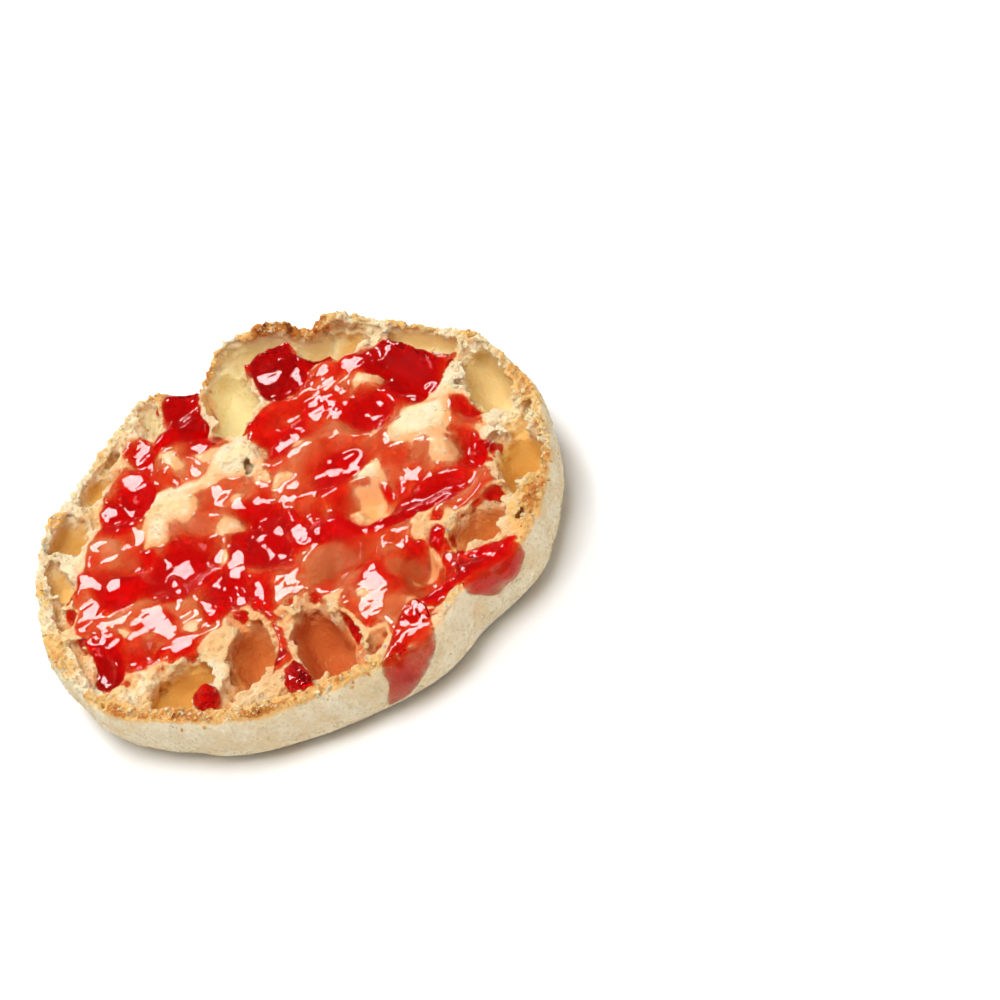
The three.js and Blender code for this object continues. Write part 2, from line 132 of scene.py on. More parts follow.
# Flat tops of the jam's lumps.
FLAT_TOPS = [
    (-22, 27.5, 2.8, 3.3, 0), (-9, 29, 2.1, 5.3, 10), (-28, 25, 1.9, 3.1, 10), (21, 29.5, 2.8, 2.6, 0),
    (25, 28.5, 1.7, 2.8, 10), (11, 23, 1.7, 4.2, 0), (5, 18.5, 3.5, 2.1, -15), (15, 22, 1.4, 4, 10),
    (32.5, 6, 1.5, 5.3, -10), (35, -5, 1.7, 4.2, -25), (-25, 13, 1.8, 5.9, 5), (-11.5, -4, 2.4, 5.4, -8),
    (0.5, -5, 1.8, 5.3, 5), (-27.5, -9, 1.9, 5.4, 10), (-26, -17.5, 5.3, 2.1, -25), (-13.5, -14, 1.5, 5.4, 0),
    (-10, -16, 1.2, 4.7, 0), (-34, -8, 3.5, 1.4, 20), (-36, 8, 1.9, 3.1, 15), (-37.5, 3, 1.7, 2.4, 0),
    (8, -26, 2.8, 5.4, -15), (23, -17, 1.3, 1.2, 0), (21.5, -27.5, 1.4, 2.1, 20), (-23, -1, 1.4, 3.5, 0),
    (-14, 0, 1.9, 2.6, 0), (17, -2, 0.9, 4.7, 0), (-19, -13, 1.4, 4.2, 10), (-37, -4, 1.4, 2.6, 0),
    (30, 30, 1.1, 3.5, 35), (-7, 10, 1.2, 2.4, 0), (14, 1.5, 1.9, 1.7, 0), (-32, 3, 1.7, 2.1, 0),
    (4.5, -34, 0.9, 1.9, 0), (31.5, 18, 0.8, 1.4, 0), (22, 18, 0.7, 2.1, 15), (6.6, 37, 3.4, 3.2, -15),
    (11.5, 34.5, 1.3, 3, -15), (24, -32.8, 2, 1, 10), (27.5, -37.2, 2.2, 0.8, -30), (20.5, -34, 1.8, 0.8, 20),
    (14, -40, 2.8, 1, 8), (-14, -33, 1.6, 2.6, 0), (-14.6, 33.6, 2.4, 0.8, 45), (-10, 35.4, 3.2, 0.8, 8),
    (-4, 32.3, 4.6, 0.8, -49),
]
# Where the jam lies calm, without lumps.
CALM_POOLS = [
    (-5.5, -3.5, 3.8, 5.5, 0), (10, 8, 7, 5.5, 10), (-20, 3.5, 4.6, 4, -20), (30.5, 22, 3.6, 9, 14),
    (20, 16.5, 3.4, 3.4, 0), (-41, -12.5, 3, 5, 0), (-26, 15, 3.6, 3, 0), (-10, 14, 4, 3, 0),
    (23, -12, 6, 2.4, -8), (-5, -13, 4, 3, 0), (13, -5, 5, 5, 0),
]
# Where crumb stands bare among the jam. The last two numbers are how far the jam's level drops there and how
# much thinner its film is.
BARE_PATCHES = [
    (27, 6.4, 5.2, 4.9, 5, 2.2, 0.95), (-4, 20.5, 4.8, 2.8, -25, 1.7, 0.9),
    (-16.6, 15.3, 2.6, 3.5, 0, 1.6, 1), (14.5, 2, 2.9, 2.2, 0, 1.6, 0.85), (13.5, -5, 3.8, 4.2, 0, 4.5, 0.51),
    (36, 13, 2.8, 3.7, 0, 1.4, 0.85), (23.5, 23.5, 2.2, 2.8, 0, 1.8, 0.3), (28.5, -4, 2.2, 3.6, 0, 1, 0.4),
    (-14, 28, 2, 3.4, 0, 1.4, 0.35), (-9, 6.5, 3.7, 1.8, 0, 1.2, 0.51), (-22, -14.5, 2.8, 2.8, 0, 1.4, 0.51),
    (-3, -15, 5.5, 5.5, 0, 1.2, 0.05), (5, -30, 7.4, 7.4, 0, 1, 0.05), (5, -15.5, 4.4, 3, 0, 3, 0.12),
    (3, 8, 4.6, 2.8, 0, 0.8, 0), (-30, 14, 3.7, 3.7, 0, 0.8, 0.05), (-10, 13, 4.6, 2.8, 0, 0.9, 0.05),
    (30, -15, 3.7, 3.7, 0, 0.9, 0.1), (16.5, -28, 3.1, 5.5, -8, 4.4, 0.1), (8, 26, 4.6, 2.8, 0, 0.8, 0),
    (-31, -14, 5, 4, 0, 1.7, 0.06), (-22, -8, 4, 4, 0, 1.5, 0.06), (-33, -4, 4, 3, 0, 1.4, 0.06),
    (-15, 4, 3, 4, 0, 1.2, 0.04), (-27, 9, 4, 2.5, 0, 1.2, 0.04), (25, -16, 5, 2.4, 0, 1.2, 0.04),
    (14, 12, 5, 2.4, 0, 0.9, 0.02), (-14, -12, 3, 4, 0, 1, 0.04),
]
# Jam that ran over the crest, at its start and end: angle, how far down along the surface from the crest,
# half width and thickness.
RUNS = [((287.5, -9, 7, 0.9), (272, 12, 2.6, 0.25)), ((307.5, -7, 6.5, 1.4), (304, 5.8, 6, 0.7))]
# Drops that lie apart: middle and half lengths.
LONE_DROPS = [((-25.6, -31.8, 11.4), (2.2, 3.2, 1.6)), ((-10.2, -39.4, 11.9), (2.3, 4, 1.7))]

CRUST_THICKNESS = 2  # the least wall left outside a bubble
FLOOR_THICKNESS = 2.6  # the least bread left under a bubble
BUBBLE_REACH = 46.5  # how far out small bubbles open
BUBBLE_CELL = 0.4  # how finely the bubbles are joined
PIT_SPACING = 2.1  # between the smallest pits of the crumb
BREAD_TRIANGLES = 195000
JAM_LEVEL = -0.25  # of the jam's pools against the face
JAM_SAG = 0.3  # share of a pocket's depth that the jam sinks into it
JAM_BLEND = 0.35  # how softly pools and film run together
FILM_THICKNESS = 0.26
LEAST_FILM = 0.15
POOL_TILT = 0.13  # slope of the calm pools
UNDERSIDE_SHARE = 0.87  # how far the jam's hidden underside is drawn in
UNDERSIDE_HEIGHT = 1.4
STROKE_EDGE = 2.4  # how far in from a stroke's edge the jam rounds down
STROKE_FALL = 1.4  # how steeply the jam falls away outside its strokes
POCKET_FALL = 5  # and how steeply at the brink of a bare pocket
GRID_REACH = 50  # half width of the square grid of the jam's surface
ABOVE = 40  # where rays start down at the muffin
CORNMEAL_TRIES = 5200
CRUMB_TRIES = 30000
AIM_HEIGHT = 13  # of the point that the view is measured from
AIM_RIGHT = 36.1  # how far beside it the camera looks
AIM_UP = 2.35


def linear(red, green, blue):
    """A colour given from 0 to 255 as the linear values that Blender's sockets take."""
    return tuple(c / 3294.6 if c <= 10.3 else ((c / 255 + 0.055) / 1.055) ** 2.4 for c in (red, green, blue))


def colour(name, where, value):
    shown = {"name": name, "description": "Colour of " + where, "subtype": "COLOR"}
    return FloatVectorProperty(size=3, min=0, max=1, default=linear(*value), **shown)


def millimetres(name, description, value, **limits):
    shown = {"name": name, "description": description, "unit": "LENGTH", "precision": 5}
    return FloatProperty(default=value * MM, **shown, **limits)


def degrees(name, description, value):
    return FloatProperty(name=name, description=description, subtype="ANGLE", default=math.radians(value))


class BreadSettings(bpy.types.PropertyGroup):
    radius: millimetres("Radius", "Mean radius at the widest", 48)
    face_height: millimetres("Face Height", "Mean height of the torn face above the base", 12)
    crest_rise: millimetres("Crest Rise", "How far the crust's edge stands above the face", 1)
    grain: millimetres("Crumb Detail", "Size of the finest crumb detail", 0.36, min=0.0003)
    bubbles: IntProperty(name="Bubbles", description="Small bubbles torn open", default=1700, min=0)
    crumb: colour("Crumb", "the pale crumb", (236, 216, 180))
    warm_crumb: colour("Warm Crumb", "the pale crumb's warmer patches", (238, 210, 158))
    tan_crumb: colour("Tan Crumb", "crumb near the brownest bubbles", (226, 176, 116))
    # The pocket colours are the bubbles' golden skin; the crumb material also blends to them with depth below
    # the face and in the pores as painted shade in the hollows.
    pale_pocket: colour("Pale Pocket", "the skin inside the palest bubbles", (240, 226, 170))
    pocket: colour("Pocket", "the skin inside most bubbles", (222, 168, 84))
    brown_pocket: colour("Brown Pocket", "the skin inside the brownest bubbles", (202, 88, 42))
    crust: colour("Crust", "the soft side", (232, 216, 184))
    warm_crust: colour("Warm Crust", "the side's warmer patches", (226, 203, 162))
    flour: colour("Flour", "the side's floury specks", (246, 238, 214))
    dark_crust: colour("Dark Crust", "the side's darker specks", (210, 182, 142))
    golden: colour("Golden", "the palest toasted crumb", (232, 182, 112))
    toast: colour("Toast", "browned crags", (196, 122, 56))
    char: colour("Char", "the darkest crags", (116, 58, 22))
    stain: colour("Stain", "crumb that has soaked up jam", (243, 168, 108))
    pale_meal: colour("Pale Cornmeal", "the palest cornmeal", (240, 224, 182))
    dark_meal: colour("Dark Cornmeal", "the darkest cornmeal", (206, 172, 110))


class JamSettings(bpy.types.PropertyGroup):
    colour: colour("Jam", "the light that the jam lets through", (254, 150, 20))
    density: FloatProperty(name="Density", description="Light taken up, per metre", default=2856, min=0)
    cell: millimetres("Detail", "Spacing of the jam surface's points", 0.43, min=0.0003)
    lumpiness: millimetres("Lumpiness", "Height of the jam's lumps", 1)


class StageSettings(bpy.types.PropertyGroup):
    elevation: degrees("Elevation", "How steeply the camera looks down on the face", 39.1)
    roll: degrees("Roll", "How far the camera is rolled", 27.2)
    distance: FloatProperty(name="Distance", description="From camera to subject", unit="LENGTH", default=1.2)
    field: millimetres("Field Width", "Width of what the camera sees", 170.56)
    sky: FloatProperty(name="Sky", description="Brightness of the surroundings", default=0.1)
    softbox: FloatProperty(name="Softbox", description="Power that each softbox has a share of", default=9)


# --- Shape functions: x, y and angle are numpy arrays ---


def squared(patch, x, y):
    """Squared distance from a patch's middle in units of its half lengths: 1 is its edge."""
    turn = math.radians(patch[4])
    dx, dy = x - patch[0], y - patch[1]
    along = (dx * math.cos(turn) + dy * math.sin(turn)) / patch[2]
    across = (dy * math.cos(turn) - dx * math.sin(turn)) / patch[3]
    return along**2 + across**2


def margin(patch, x, y):
    """Roughly how far inside a patch's edge each point lies."""
    return (1 - np.sqrt(squared(patch, x, y))) * min(patch[2], patch[3])


def best_margin(patches, x, y):
    """How far inside the nearest of several patches each point lies: below 0 is outside them all."""
    return np.max([margin(patch, x, y) for patch in patches], axis=0)


def bell_sum(rises, angle):
    """Sum of bell-shaped rises round the edge."""
    total = np.zeros_like(angle)
    for at, spread, rise in rises:
        away = np.arctan2(np.sin(angle - math.radians(at)), np.cos(angle - math.radians(at)))
        total += rise * np.exp(-((away / math.radians(spread)) ** 2))
    return total


def smooth_step(low, high, value):
    """0 at low, 1 at high and smooth between, also where low is the larger."""
    t = np.clip((value - low) / (high - low), 0, 1)
    return t * t * (3 - 2 * t)


def outline_radius(angle):
    unevenness = 0.25 * np.sin(9 * angle + 1) + 0.2 * np.sin(14 * angle)
    return bread_settings().radius / MM + bell_sum(OUTLINE_SWELLS, angle) + unevenness


def crest_distance(x, y):
    """How far inside the crest's line each point lies."""
    return CREST_SHARE * outline_radius(np.arctan2(y, x)) - np.hypot(x, y)


def face_height(x, y):
    """The torn face as if no bubble had opened in it."""
    settings = bread_settings()
    angle = np.arctan2(y, x)
    swell = 0.45 * np.sin(x / 7 + 0.5) * np.cos(y / 9 - 1)
    share = np.hypot(x, y) / outline_radius(angle) / CREST_SHARE
    crest = smooth_step(0.88, 1, share) * (settings.crest_rise / MM + bell_sum(CREST_PEAKS, angle))
    return settings.face_height / MM + swell + crest


def face_rim(angle):
    """Height of the crest at an angle."""
    edge = CREST_SHARE * outline_radius(angle)
    return face_height(edge * np.cos(angle), edge * np.sin(angle))


def share_at(height):
    """The outline's share at a height given as a share of the crest's."""
    return np.interp(height, [h for _, h in SIDE_PROFILE], [s for s, _ in SIDE_PROFILE])


def pocket_depth(pockets, x, y):
    """Depth of the deepest pocket: each is the lower half of an ellipsoid."""
    return np.max([p[5] * np.sqrt(np.maximum(0, 1 - squared(p, x, y))) for p in pockets], axis=0)


def noise_at(points, size, octaves=1):
    """Noise from about -1 to 1 at each point, with features of about that size."""
    return np.array([noise.fractal(Vector(p) / size, 0.9, 2, octaves) for p in points])


def pits_at(points, size):
    """1 in the middle of small round pits about that far apart, 0 between them."""
    nearest = np.array([noise.voronoi(Vector(p) / size)[0][0] for p in points])
    return smooth_step(0.55, 0.15, nearest)


def flat_noise(x, y, size, seed, octaves=1):
    """Noise over the plane, another for each seed."""
    points = np.column_stack([x.ravel(), y.ravel(), np.full(x.size, seed)])
    return noise_at(points, size, octaves).reshape(x.shape)


def blurred(field, cells):
    """A square grid of heights, smoothed over about that many cells."""
    reach = int(3 * cells)
    weights = np.exp(-0.5 * (np.arange(-reach, reach + 1) / cells) ** 2)
    weights /= weights.sum()
    for _ in range(2):
        padded = np.pad(field, ((reach, reach), (0, 0)), mode="edge")
        field = sum(w * padded[i : i + field.shape[0]] for i, w in enumerate(weights)).T
    return field


def facets(x, y, spacing, seed):
    """Flat lumps about that far apart, softly joined, each sloping its own way by about 1 in 1."""
    table = np.random.default_rng(seed).uniform(-1, 1, (64, 64, 5))
    table[..., 2:4] /= np.hypot(table[..., 2], table[..., 3])[..., None] + 0.25
    column, row = np.floor(x / spacing).astype(int), np.floor(y / spacing).astype(int)
    total, weights = np.zeros_like(x), np.zeros_like(x)
    for i, j in itertools.product((-1, 0, 1), repeat=2):
        chosen = table[(column + i) % 64, (row + j) % 64]
        shift_x, shift_y, slope_x, slope_y, height = np.moveaxis(chosen, -1, 0)
        dx = x / spacing - (column + i + 0.5 + 0.4 * shift_x)
        dy = y / spacing - (row + j + 0.5 + 0.4 * shift_y)
        weight = np.exp(-7 * (dx**2 + dy**2)) + 1e-9
        total += weight * (slope_x * dx + slope_y * dy + 0.5 * height)
        weights += weight
    return spacing * total / weights


def browning(angle):
    """How browned the crest is."""
    return 0.12 + bell_sum(BROWNING, angle)


def jam_cover(x, y):
    """1 where the jam covers the crumb, 0 where the crumb is bare."""
    in_stroke, in_pocket = best_margin(JAM_STROKES, x, y), best_margin(BARE_POCKETS, x, y)
    return smooth_step(-1, 1.5, in_stroke) * smooth_step(-0.5, -2.5, in_pocket)


def crumb_shows(x, y):
    """1 where the crumb is bare, less where the jam was scraped off it and 0 where the jam hides it."""
    return np.maximum(1 - jam_cover(x, y), 0.3 * smooth_step(0.3, 0.8, bareness(x, y)))


def bareness(x, y):
    """How much thinner the film is over the bare patches, in millimetres."""
    return bumps([(*p[:5], p[6]) for p in BARE_PATCHES], x, y)


def bumps(patches, x, y):
    """Sum of soft round bumps."""
    return sum(p[5] * np.exp(-(squared(p, x, y) ** 1.4)) for p in patches)


def jam_surface(x, y, crumb):
    """Height of the jam over a square grid: pools that fill the hollows and a film that follows the crumb."""
    settings = jam_settings()

    def texture(size, seed, octaves=1):
        return flat_noise(x, y, size, seed, octaves)

    wander = 1.2 * texture(3.2, 7, 2)
    in_stroke = best_margin(JAM_STROKES, x, y) + wander
    in_pocket = best_margin(BARE_POCKETS, x, y) + 0.3 * wander + 0.9
    lumps = bumps(JAM_LUMPS, x, y)
    warp_x, warp_y = x + 0.9 * texture(4, 23), y + 0.9 * texture(4, 29)
    calm = [np.exp(-(squared(p, x, y) ** 2)) for p in CALM_POOLS]
    lively = 1 - np.max(calm, axis=0)
    tilt = POOL_TILT * sum(share * (y - p[1]) for share, p in zip(calm, CALM_POOLS))
    chunks = settings.lumpiness / MM * (0.02 + 0.17 * lively) * facets(warp_x, warp_y, 5.4, 1)
    level = face_height(x, y) + JAM_LEVEL + 0.6 * texture(7, 13, 2) + lumps
    level -= JAM_SAG * pocket_depth(FILLED_POCKETS, x, y)
    level += chunks + tilt - bumps(BARE_PATCHES, x, y)
    thin = np.maximum(LEAST_FILM, FILM_THICKNESS + 0.18 * texture(4.5, 17, 2) + 0.3 * chunks)
    thin -= bareness(x, y) * (1 + 0.9 * texture(3, 31, 2))
    film = blurred(crumb, 0.35 / (settings.cell / MM)) + thin
    top = np.logaddexp(level / JAM_BLEND, film / JAM_BLEND) * JAM_BLEND
    for flat in FLAT_TOPS:
        share = squared(flat, warp_x, warp_y)
        middle = np.average(top, weights=np.exp(-2 * share))
        top += np.exp(-(share**3)) * (middle + 0.15 - top)
    streaks = flat_noise(x / 3, y, 1.5, 37, 2)
    top += settings.lumpiness / MM * (0.045 * texture(1.7, 5, 2) + (0.02 + 0.07 * lively) * streaks)
    edge = np.clip(in_stroke / STROKE_EDGE, 0, 1)
    top -= 1.8 * (1 - np.sqrt(1 - (1 - edge) ** 2)) + STROKE_FALL * np.maximum(0, -in_stroke)
    top -= POCKET_FALL * np.maximum(0, in_pocket)
    # Where it has run out, it stays within the bread's side and base.
    angle = np.arctan2(y, x)
    shares, heights = zip(*((share, max(height, 0.12)) for share, height in SIDE_PROFILE[:-1]))
    lowest = np.interp((np.hypot(x, y) + 1) / outline_radius(angle), shares, heights)
    return np.maximum(lowest * face_rim(angle), top)


# --- Mesh helpers ---


def bread_settings():
    return bpy.context.scene.muffin_bread


def jam_settings():
    return bpy.context.scene.muffin_jam


def stage_settings():
    return bpy.context.scene.muffin_stage


def object_from(bm, name):
    """A new object from a bmesh, which is freed."""
    mesh = bpy.data.meshes.new(name)
    bm.to_mesh(mesh)
    bm.free()
    obj = bpy.data.objects.new(name, mesh)
    bpy.context.scene.collection.objects.link(obj)
    return obj


def ball_shape(detail, unevenness, seed=0):
    """A ball's mesh, its points pushed in and out by up to a share of its radius."""
    rng = random.Random(seed)
    bm = bmesh.new()
    bmesh.ops.create_icosphere(bm, subdivisions=detail, radius=1)
    for vert in bm.verts:
        vert.co *= 1 + unevenness * rng.uniform(-1, 1)
    mesh = bpy.data.meshes.new("ball")
    bm.to_mesh(mesh)
    bm.free()
    return mesh


def copies_mesh(placed):
    """A bmesh of copies, each given as its mesh and matrix. The meshes are removed."""
    bm = bmesh.new()
    for shape, matrix in placed:
        copy = shape.copy()
        copy.transform(matrix)
        bm.from_mesh(copy)
        bpy.data.meshes.remove(copy)
    for shape in {shape for shape, _ in placed}:
        bpy.data.meshes.remove(shape)
    return bm


def modify(obj, kind, **settings):
    """Adds a modifier and applies it to the object's mesh."""
    modifier = obj.modifiers.new(kind, kind)
    for key, value in settings.items():
        setattr(modifier, key, value)
    evaluated = obj.evaluated_get(bpy.context.evaluated_depsgraph_get())
    mesh = bpy.data.meshes.new_from_object(evaluated)
    obj.modifiers.clear()
    old, obj.data = obj.data, mesh
    bpy.data.meshes.remove(old)


def remesh(obj, size):
    modify(obj, "REMESH", mode="VOXEL", voxel_size=size)


def combine(obj, other, operation):
    """Joins or cuts an object with another, which is removed."""
    modify(obj, "BOOLEAN", solver="MANIFOLD", operation=operation, object=other)
    bpy.data.objects.remove(other)
    if not obj.data.polygons:
        raise RuntimeError(f"{operation} left nothing of {obj.name}")


def triples(items, name):
    """One row of three numbers for each item."""
    values = np.empty(len(items) * 3, dtype=np.float32)
    items.foreach_get(name, values)
    return values.reshape(-1, 3).astype(float)


def points_of(mesh):
    return triples(mesh.vertices, "co")


def set_points(mesh, points):
    mesh.vertices.foreach_set("co", np.ascontiguousarray(points, dtype=np.float32).ravel())
    mesh.update()


def set_attribute(mesh, name, values):
    attribute = mesh.attributes.new(name, "FLOAT", "POINT")
    attribute.data.foreach_set("value", np.ascontiguousarray(values, dtype=np.float32))


def to_metres(mesh):
    """Takes a mesh from millimetres to metres and shades it smooth."""
    mesh.transform(Matrix.Scale(MM, 4))
    mesh.shade_smooth()


def finish_piece(obj, material, nodes=()):
    """Puts a piece in the frame."""
    obj.data.materials.clear()
    obj.data.materials.append(material)
    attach(obj, "root")
    if nodes:
        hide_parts(*nodes)


# --- Shader helpers ---


class Value:
    """A shader socket that takes part in arithmetic."""

    def __init__(self, nodes, socket):
        self.nodes = nodes
        self.socket = socket

    def _math(self, operation, *inputs):
        return self.nodes.add("ShaderNodeMath", {"operation": operation}, inputs)

    def __add__(self, other):
        return self._math("ADD", self, other)

    def __sub__(self, other):
        return self._math("SUBTRACT", self, other)

    def __rsub__(self, other):
        return self._math("SUBTRACT", other, self)

    def __mul__(self, other):
        return self._math("MULTIPLY", self, other)

    __rmul__ = __mul__


class Nodes:
    """A new material's node tree."""

    def __init__(self, name):
        self.material = bpy.data.materials.new(name)
        self.material.use_nodes = True
        self.tree = self.material.node_tree
        self.tree.nodes.clear()

    def add(self, kind, settings=None, inputs=(), output=0):
        """Adds a node. inputs is a list in socket order, or a dict by socket name or number."""
        node = self.tree.nodes.new(kind)
        for key, value in (settings or {}).items():
            setattr(node, key, value)
        pairs = inputs.items() if isinstance(inputs, dict) else enumerate(inputs)
        for key, value in pairs:
            self.feed(node.inputs[key], value)
        return Value(self, node.outputs[output])

    def feed(self, socket, value):
        if isinstance(value, Value):
            self.tree.links.new(value.socket, socket)
        elif value is not None:
            socket.default_value = (*value, 1) if socket.type == "RGBA" and len(value) == 3 else value

    def attribute(self, name):
        return self.add("ShaderNodeAttribute", {"attribute_name": name}, output=2)

    def coordinates(self):
        return self.add("ShaderNodeTexCoord", output=3)

    def noise(self, size, detail=2.0, roughness=0.5):
        """Noise from 0 to 1 with features of about that size in millimetres."""
        inputs = {"Scale": 1 / (size * MM), "Detail": detail, "Roughness": roughness}
        return self.add("ShaderNodeTexNoise", inputs={"Vector": self.coordinates(), **inputs})

    def cells(self, size):
        """Distance from the middle of the nearest cell, where cells are about that large in millimetres."""
        inputs = {"Vector": self.coordinates(), "Scale": 1 / (size * MM)}
        return self.add("ShaderNodeTexVoronoi", inputs=inputs)

    def step(self, value, low, high):
        """0 below low, 1 above high, smooth between."""
        settings = {"interpolation_type": "SMOOTHSTEP", "clamp": True}
        return self.add("ShaderNodeMapRange", settings, {"Value": value, "From Min": low, "From Max": high})

    def mix(self, factor, a, b):
        """Colour a where the factor is 0, b where it is 1."""
        return self.add("ShaderNodeMix", {"data_type": "RGBA"}, {0: factor, 6: a, 7: b}, output=2)

    def bump(self, height, distance, normal=None, strength=1.0):
        inputs = {"Strength": strength, "Distance": distance * MM, "Height": height, "Normal": normal}
        return self.add("ShaderNodeBump", inputs=inputs)

    def principled(self, values, volume=None):
        output = self.tree.nodes.new("ShaderNodeOutputMaterial")
        self.feed(output.inputs["Surface"], self.add("ShaderNodeBsdfPrincipled", inputs=values))
        self.feed(output.inputs["Volume"], volume)
        return self.material


def crumb_material():
    """Pale torn crumb, golden in its bubbles and, as painted shade, darker and more golden down into them and
    into its pores, browned and stained. An attribute that is missing reads as 0.
    """
    settings = bread_settings()
    nodes = Nodes("Toasted crumb")
    names = ("side", "deep", "toast", "stain", "coarse", "skin")
    side, deep, toast, stain, coarse, skin = (nodes.attribute(name) for name in names)
    patches = nodes.noise(5, 3)
    grains = nodes.noise(0.8, 3, 0.6)
    crumb = nodes.mix(nodes.step(patches, 0.35, 0.7), settings.crumb, settings.warm_crumb)
    tan = nodes.step(skin + (patches - 0.5) * 1.2, 0.35, 0.9) * 0.75
    crumb = nodes.mix(tan, crumb, settings.tan_crumb)
    pocket = nodes.mix(nodes.step(skin, 0.05, 0.5), settings.pale_pocket, settings.pocket)
    pocket = nodes.mix(nodes.step(skin, 0.5, 1), pocket, settings.brown_pocket)
    # Painted shade: the crumb turns to the pocket colours with depth below the face and in the pore middles,
    # partly the bubbles' golden skin and partly shade painted into the hollows.
    pores = nodes.step(nodes.cells(0.95), 0.6, 0.2)
    crumb = nodes.mix(nodes.step(deep + pores * 0.5, 0.6, 4), crumb, pocket)
    crust = nodes.mix(nodes.step(patches, 0.4, 0.62), settings.crust, settings.warm_crust)
    crust = nodes.mix(nodes.step(grains, 0.5, 0.75) * 0.6, crust, settings.flour)
    crust = nodes.mix(nodes.step(grains, 0.46, 0.3) * 0.5, crust, settings.dark_crust)
    bread = nodes.mix(side, crumb, crust)
    browned = toast + (grains - 0.5) * 0.8 + (patches - 0.5) * 0.6
    bread = nodes.mix(nodes.step(browned, 0.1, 0.4), bread, settings.golden)
    bread = nodes.mix(nodes.step(browned, 0.5, 0.85), bread, settings.toast)
    bread = nodes.mix(nodes.step(browned, 0.95, 1.3), bread, settings.char)
    wet = nodes.step(stain + (grains - 0.5) * 0.35 + (patches - 0.5) * 0.5, 0.15, 0.75)
    bread = nodes.mix(wet * 0.85, bread, settings.stain)
    porous = (1 - side) * (1 - nodes.step(deep, 1.5, 4)) * coarse
    grain_bump = nodes.bump(pores * porous * -1, 0.22, nodes.bump(grains * coarse, 0.8, strength=0.5))
    return nodes.principled(
        {
            "Base Color": bread,
            "Roughness": 0.88 - 0.6 * wet,
            "Subsurface Weight": 0.6,
            "Subsurface Radius": (1.0, 0.65, 0.35),
            "Subsurface Scale": 0.0014,
            "Specular IOR Level": 0.35,
            "Normal": grain_bump,
        }
    )


def jam_material():
    """Clear red jam that deepens with its thickness."""
    settings = jam_settings()
    nodes = Nodes("Red jam")
    taken_up = {"Color": tuple(settings.colour), "Density": settings.density}
    surface = {"Base Color": (1, 0.96, 0.94, 1), "Roughness": 0.04, "IOR": 1.38, "Transmission Weight": 1.0}
    return nodes.principled(surface, nodes.add("ShaderNodeVolumeAbsorption", inputs=taken_up))


def cornmeal_material():
    settings = bread_settings()
    nodes = Nodes("Cornmeal")
    tone = nodes.mix(nodes.noise(3, 1), settings.pale_meal, settings.dark_meal)
    return nodes.principled({"Base Color": tone, "Roughness": 0.75})


# --- Pieces ---


def bread_blank():
    """The half before its bubbles open: the side's profile spun round and fitted to the uneven outline."""
    side_steps, base_rings, face_rings, sectors = 4, 12, 90, 300
    curve = []
    for (share_a, height_a), (share_b, height_b) in zip(SIDE_PROFILE, SIDE_PROFILE[1:]):
        for i in range(side_steps):
            t = i / side_steps
            curve.append((share_a + (share_b - share_a) * t, height_a + (height_b - height_a) * t))
    base = [(SIDE_PROFILE[0][0] * i / base_rings, 0) for i in range(base_rings)]
    top = [(CREST_SHARE * i / face_rings, 1) for i in range(face_rings, -1, -1)]
    bm = bmesh.new()
    verts = [bm.verts.new((share, 0, height)) for share, height in base + curve + top]
    edges = [bm.edges.new(pair) for pair in zip(verts, verts[1:])]
    round_once = {"axis": (0, 0, 1), "cent": (0, 0, 0), "angle": 2 * math.pi, "steps": sectors}
    bmesh.ops.spin(bm, geom=verts + edges, use_merge=True, **round_once)
    bmesh.ops.remove_doubles(bm, verts=bm.verts, dist=1e-5)
    bmesh.ops.recalc_face_normals(bm, faces=bm.faces)
    blank = object_from(bm, "blank")
    across, along, height = points_of(blank.data).T
    angle = np.arctan2(along, across)
    radius = np.hypot(across, along) * outline_radius(angle)
    x, y = radius * np.cos(angle), radius * np.sin(angle)
    hollows = np.max([p[5] * np.exp(-(squared(p, x, y) ** 1.5)) for p in FILLED_POCKETS], axis=0)
    swells = 0.9 * flat_noise(x, y, 6, 41) + 0.4 * flat_noise(x, y, 3, 43)
    top_z = face_height(x, y) + bumps(MOUNDS, x, y) + (swells - hollows) * jam_cover(x, y)
    z = np.where(height > 0.999, top_z, height * face_rim(angle))
    set_points(blank.data, np.column_stack([x, y, z]))
    return blank


